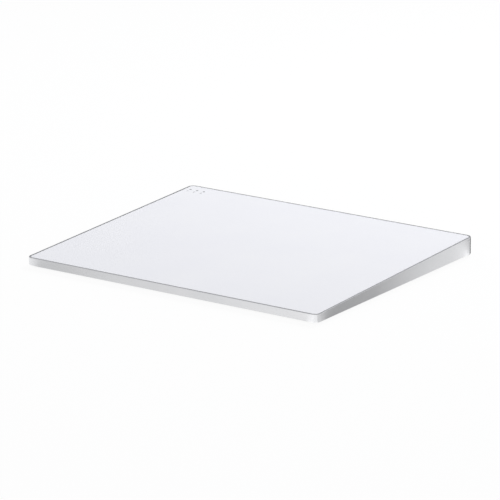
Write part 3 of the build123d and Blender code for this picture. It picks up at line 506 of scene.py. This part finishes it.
def lamp_numerals():
    """The plain numbers 1, 2 and 3 in front of the lamps, in grey ink."""
    for count, (x, y) in enumerate(lamp_places(), start=1):
        text = bpy.data.curves.new(f"lamp_numeral_{count}", "FONT")
        text.body = str(count)
        text.size = numeral_height * mm
        text.extrude = print_thickness * mm / 2
        text.offset = numeral_stroke_gain * mm
        text.align_x = "CENTER"
        text.align_y = "CENTER"
        source = new_object(text.name, text)
        mesh = bpy.data.meshes.new_from_object(source.evaluated_get(bpy.context.evaluated_depsgraph_get()))
        bpy.data.objects.remove(source)
        flat = on_glass(x, y)
        seat = glass_top @ Matrix.Translation((flat.x, flat.y - numeral_setback * mm, print_middle * mm))
        mesh.transform(seat)
        finish_piece(new_piece(f"lamp_numeral_{count}", mesh, numeral_ink), "plate")


def cross_outline(length, width):
    """Corners of a cross, in turn."""
    tip, side = length / 2, width / 2
    arm = ((side, tip), (side, side), (tip, side))
    corners = []
    for quarter in range(4):
        cos, sin = math.cos(-quarter * math.pi / 2), math.sin(-quarter * math.pi / 2)
        corners += [(x * cos - y * sin, x * sin + y * cos) for x, y in arm]
    return corners


def screw_mesh(head_radius, head_height, shank_radius, length):
    """One screw with a cross recess, its head's face at zero looking down, its shank going up."""
    drawing = bmesh.new()
    turns = [2 * math.pi * i / screw_sides for i in range(screw_sides)]

    def ring(radius, z):
        return [drawing.verts.new((radius * math.cos(t), radius * math.sin(t), z)) for t in turns]

    def wall(first, second):
        for i in range(len(first)):
            j = (i + 1) % len(first)
            drawing.faces.new((first[i], first[j], second[j], second[i]))

    face_rim = ring(head_radius - screw_crown * mm, 0)
    side_low = ring(head_radius, screw_crown * mm)
    side_high = ring(head_radius, head_height)
    neck = ring(shank_radius, head_height)
    tip = ring(shank_radius, length)
    wall(face_rim, side_low)
    wall(side_low, side_high)
    wall(side_high, neck)
    wall(neck, tip)
    drawing.faces.new(tip)
    outline = cross_outline(screw_recess_length * mm, screw_recess_width * mm)
    recess_rim = [drawing.verts.new((x, y, 0)) for x, y in outline]
    taper, depth = screw_recess_taper_share, screw_recess_depth * mm
    recess_floor = [drawing.verts.new((x * taper, y * taper, depth)) for x, y in outline]
    wall(recess_rim, recess_floor)
    drawing.faces.new(recess_floor)
    loops = []
    for loop in (face_rim, recess_rim):
        for i in range(len(loop)):
            j = (i + 1) % len(loop)
            edge = drawing.edges.get((loop[i], loop[j])) or drawing.edges.new((loop[i], loop[j]))
            loops.append(edge)
    bmesh.ops.triangle_fill(drawing, use_beauty=True, use_dissolve=False, edges=loops)
    bmesh.ops.recalc_face_normals(drawing, faces=drawing.faces)
    return mesh_from(drawing, "cross_recess_screw")


def node_group(name, inputs):
    """An empty geometry tree with named inputs, its group input and output."""
    tree = bpy.data.node_groups.new(name, "GeometryNodeTree")
    tree.interface.new_socket("Geometry", in_out="INPUT", socket_type="NodeSocketGeometry")
    for label, kind in inputs:
        tree.interface.new_socket(label, in_out="INPUT", socket_type=kind)
    tree.interface.new_socket("Geometry", in_out="OUTPUT", socket_type="NodeSocketGeometry")
    return tree, add(tree, "NodeGroupInput").outputs


def run_tree(name, start, tree, values):
    """Runs a geometry tree on a mesh with its inputs set by name, and returns the plain mesh."""
    carrier = new_object(name, start)
    modifier = carrier.modifiers.new(name, "NODES")
    modifier.node_group = tree
    for item in tree.interface.items_tree:
        if item.in_out == "INPUT" and item.name in values:
            modifier[item.identifier] = values[item.name]
    mesh = bpy.data.meshes.new_from_object(carrier.evaluated_get(bpy.context.evaluated_depsgraph_get()))
    mesh.name = name
    carrier.modifiers.remove(modifier)
    bpy.data.objects.remove(carrier)
    return mesh


def screw_places(node):
    """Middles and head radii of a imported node's separate screws, seen from above.

    The screws are found in any order, so they are sorted: each then gets the same turn each run.
    """
    drawing = welded_copy(node)
    places = []
    left = set(drawing.verts)
    while left:
        group, queue = set(), [left.pop()]
        while queue:
            vert = queue.pop()
            group.add(vert)
            for edge in vert.link_edges:
                other = edge.other_vert(vert)
                if other in left:
                    left.discard(other)
                    queue.append(other)
        xs = [v.co.x for v in group]
        ys = [v.co.y for v in group]
        places.append(((min(xs) + max(xs)) / 2, (min(ys) + max(ys)) / 2, (max(xs) - min(xs)) / 2))
    drawing.free()
    return sorted(places, key=lambda place: [round(size / mm) for size in place])


def cover_screws():
    """Six screws with cross recesses, in place of the plain ones under the cover."""
    low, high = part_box("cover_screws")
    places = screw_places("cover_screws")
    head_radius = places[0][2]
    unit = screw_mesh(head_radius, screw_head_height * mm, screw_shank_radius * mm, high.z - low.z)
    pattern = bpy.data.objects.new("cross_recess_screw", unit)
    tree, given = node_group("screws_on_points", [
        ("Screw", "NodeSocketObject"), ("Turn Seed", "NodeSocketInt"), ("Finish", "NodeSocketMaterial"),
    ])
    info = add(tree, "GeometryNodeObjectInfo", inputs={"Object": given["Screw"]})
    turn = add(tree, "FunctionNodeRandomValue", {"data_type": "FLOAT_VECTOR"}, {
        "Min": (0, 0, 0), "Max": (0, 0, math.pi / 2), "Seed": given["Turn Seed"],
    })
    placed = add(tree, "GeometryNodeInstanceOnPoints", inputs={
        "Points": given["Geometry"], "Instance": info.outputs["Geometry"], "Rotation": turn.outputs["Value"],
    })
    solid = add(tree, "GeometryNodeRealizeInstances", inputs={"Geometry": placed.outputs["Instances"]})
    painted = add(tree, "GeometryNodeSetMaterial", inputs={
        "Geometry": solid.outputs["Geometry"], "Material": given["Finish"],
    })
    add(tree, "NodeGroupOutput", inputs={"Geometry": painted.outputs["Geometry"]})
    start = bpy.data.meshes.new("cover_screw_points")
    start.from_pydata([(x, y, low.z) for x, y, _ in places], [], [])
    mesh = run_tree("cross_recess_cover_screws", start, tree, {
        "Screw": pattern, "Turn Seed": screw_turn_seed, "Finish": finishes["zinc_steel"],
    })
    bpy.data.objects.remove(pattern)
    piece = new_piece("cross_recess_cover_screws", mesh, finishes["zinc_steel"])
    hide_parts("cover_screws")
    finish_piece(piece, "base")


def socket_contacts():
    """Gold contacts on both faces of the socket's tongue."""
    centre = middle("usb_tongue")
    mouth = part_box("usb_tongue")[1].y
    tree, given = node_group("contact_row", [
        ("Count", "NodeSocketInt"), ("Pitch", "NodeSocketFloat"), ("Pad Size", "NodeSocketVector"),
        ("Spread", "NodeSocketFloat"), ("Finish", "NodeSocketMaterial"),
    ])
    step = add(tree, "ShaderNodeCombineXYZ", inputs={"X": given["Pitch"]})
    pad = add(tree, "GeometryNodeMeshCube", inputs={"Size": given["Pad Size"]})
    row = add(tree, "GeometryNodeMeshLine", inputs={
        "Count": given["Count"], "Offset": step.outputs["Vector"],
    })
    joined = add(tree, "GeometryNodeJoinGeometry")
    for side in (-1, 1):
        shift = add(tree, "ShaderNodeMath", {"operation": "MULTIPLY"}, {0: given["Spread"], 1: side / 2})
        lift = add(tree, "ShaderNodeCombineXYZ", inputs={"Z": shift.outputs["Value"]})
        moved = add(tree, "GeometryNodeSetPosition", inputs={
            "Geometry": row.outputs["Mesh"], "Offset": lift.outputs["Vector"],
        })
        placed = add(tree, "GeometryNodeInstanceOnPoints", inputs={
            "Points": moved.outputs["Geometry"], "Instance": pad.outputs["Mesh"],
        })
        tree.links.new(placed.outputs["Instances"], joined.inputs["Geometry"])
    solid = add(tree, "GeometryNodeRealizeInstances", inputs={"Geometry": joined.outputs["Geometry"]})
    painted = add(tree, "GeometryNodeSetMaterial", inputs={
        "Geometry": solid.outputs["Geometry"], "Material": given["Finish"],
    })
    add(tree, "NodeGroupOutput", inputs={"Geometry": painted.outputs["Geometry"]})
    mesh = run_tree("socket_contacts", bpy.data.meshes.new("contact_start"), tree, {
        "Count": contact_count,
        "Pitch": contact_pitch * mm,
        "Pad Size": (contact_width * mm, contact_length * mm, contact_thickness * mm),
        "Spread": tongue_thickness * mm,
        "Finish": contact_gold,
    })
    first_x = centre.x - (contact_count - 1) / 2 * contact_pitch * mm
    middle_y = mouth - (contact_setback + contact_length / 2) * mm
    mesh.transform(Matrix.Translation((first_x, middle_y, centre.z)))
    finish_piece(new_piece("socket_contacts", mesh, contact_gold), "base")


def snap_dome():
    """The switch's dome, which flattens on the roof of its case as the plate clicks; here it rides on the
    plate, unbent, with a mesh of its own.
    """
    mesh = mesh_from(welded_copy("click_dome"), "snap_dome")
    piece = new_piece("snap_dome", mesh, finishes["spring_steel"])
    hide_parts("click_dome")
    finish_piece(piece, "plate")
    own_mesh(piece)


dress_nodes()
lamp_windows()
lamp_numerals()
cover_screws()
socket_contacts()
snap_dome()


# Matt uncoated paper: it takes soft shadows, and reads white where it is seen, mirrored or seen
# through glass.
def studio_floor():
    mesh = bpy.data.meshes.new("studio_floor")
    reach = floor_reach * mm
    corners = [(-reach, -reach, 0), (reach, -reach, 0), (reach, reach, 0), (-reach, reach, 0)]
    mesh.from_pydata(corners, [], [(0, 1, 2, 3)])
    material = bpy.data.materials.new("matt_paper_floor")
    tree = empty_tree(material)
    ray = add(tree, "ShaderNodeLightPath").outputs
    seen = ray["Is Camera Ray"]
    for kind in ("Is Glossy Ray", "Is Transmission Ray"):
        seen = add(tree, "ShaderNodeMath", {"operation": "MAXIMUM"}, {0: seen, 1: ray[kind]}).outputs[0]
    share = add(tree, "ShaderNodeMath", {"operation": "MULTIPLY"}, {0: seen, 1: floor_glow_share})
    paper = add(tree, "ShaderNodeBsdfDiffuse", inputs={"Color": colour(floor_tone)})
    white = add(tree, "ShaderNodeEmission", inputs={"Color": (1, 1, 1, 1), "Strength": 1.0})
    mixed = add(tree, "ShaderNodeMixShader", inputs={
        "Fac": share.outputs[0], 1: paper.outputs["BSDF"], 2: white.outputs["Emission"],
    })
    add(tree, "ShaderNodeOutputMaterial", inputs={"Surface": mixed.outputs["Shader"]})
    mesh.materials.append(material)
    new_object("studio_floor", mesh)


def studio_surround():
    """A pale room, brighter near the floor than overhead."""
    world = bpy.data.worlds.new("pale_surround")
    bpy.context.scene.world = world
    tree = empty_tree(world)
    direction = add(tree, "ShaderNodeTexCoord").outputs["Generated"]
    height = add(tree, "ShaderNodeSeparateXYZ", inputs={"Vector": direction}).outputs["Z"]
    level = add(tree, "ShaderNodeMapRange", inputs={
        "Value": height, "To Min": horizon_level, "To Max": zenith_level,
    })
    light = add(tree, "ShaderNodeBackground", inputs={
        "Color": colour(surround_tone), "Strength": level.outputs["Result"],
    })
    add(tree, "ShaderNodeOutputWorld", inputs={"Surface": light.outputs["Background"]})


def soft_lamp(name, place, side, power):
    """A square lamp that looks at the origin, and that the camera doesn't see."""
    lamp = bpy.data.lights.new(name, "AREA")
    lamp.shape = "SQUARE"
    lamp.size = side * mm
    lamp.energy = power
    holder = new_object(name, lamp)
    holder.visible_camera = False
    holder.location = Vector(place) * mm
    holder.rotation_euler = (-holder.location).to_track_quat("-Z", "Y").to_euler()


def panel_rows():
    """The light panel's rows, from the front left to the rear right.

    Each has a starting point in millimetres, the azimuth at which it runs out, and a level.
    """
    right, rear = cad_box[1].x / mm, cad_box[1].y / mm
    inner_x, inner_y = right - panel_corner, rear - panel_corner
    rows = [(-inner_x, -inner_y, azimuth, level) for azimuth, level in front_left_levels]
    rows += [(x, -rear, off_front, level) for x, level in front_levels]
    rows += [(inner_x, -inner_y, azimuth, level) for azimuth, level in front_right_levels]
    rows += [(right, y, off_side, level) for y, level in side_levels]
    rows.append((right - dark_row_inset, inner_y, dark_row_azimuth, dark_row_level))
    rows += [(inner_x, inner_y, azimuth, level) for azimuth, level in rear_right_levels]
    return rows


# Opal acrylic, lit from below and graded along its length: only what is glossy mirrors it, so
# that it draws the sides' slow change from pale to grey and back.
def graded_panel():
    points, levels = [], []
    for x, y, azimuth, level in panel_rows():
        ahead = Vector((math.cos(math.radians(azimuth)), math.sin(math.radians(azimuth)), 0))
        start = Vector((x, y, panel_lift))
        points += [start * mm, (start + ahead * panel_reach) * mm]
        levels += [level, level]
    mesh = bpy.data.meshes.new("graded_panel")
    mesh.from_pydata(points, [], [(i, i + 1, i + 3, i + 2) for i in range(0, len(points) - 2, 2)])
    mesh.attributes.new("level", "FLOAT", "POINT").data.foreach_set("value", levels)
    material = bpy.data.materials.new("lit_opal_acrylic")
    tree = empty_tree(material)
    level = add(tree, "ShaderNodeAttribute", {"attribute_name": "level"}).outputs["Fac"]
    glow = add(tree, "ShaderNodeEmission", inputs={"Color": (1, 1, 1, 1), "Strength": level})
    add(tree, "ShaderNodeOutputMaterial", inputs={"Surface": glow.outputs["Emission"]})
    mesh.materials.append(material)
    panel = new_object("graded_panel", mesh)
    panel.visible_camera = False
    panel.visible_diffuse = False
    panel.visible_shadow = False


def studio_camera():
    """The camera, placed so that the body's lines run as they do in the picture."""
    camera = bpy.data.cameras.new("camera")
    camera.sensor_width = sensor_width
    camera.lens = picture_focal_length * sensor_width / picture_width
    camera.clip_start = nearest_seen * mm
    holder = new_object("camera", camera)
    turn = (
        Matrix.Rotation(math.radians(camera_yaw), 4, "Z")
        @ Matrix.Rotation(math.radians(90 - camera_pitch), 4, "X")
        @ Matrix.Rotation(math.radians(camera_roll), 4, "Z")
    )
    holder.matrix_world = Matrix.Translation(Vector(camera_place) * mm) @ turn
    bpy.context.scene.camera = holder


studio_floor()
studio_surround()
for lamp_name, (place, side, power) in lamps.items():
    soft_lamp(lamp_name, place, side, power)
graded_panel()
studio_camera()

bpy.context.scene.view_settings.view_transform = "Standard"
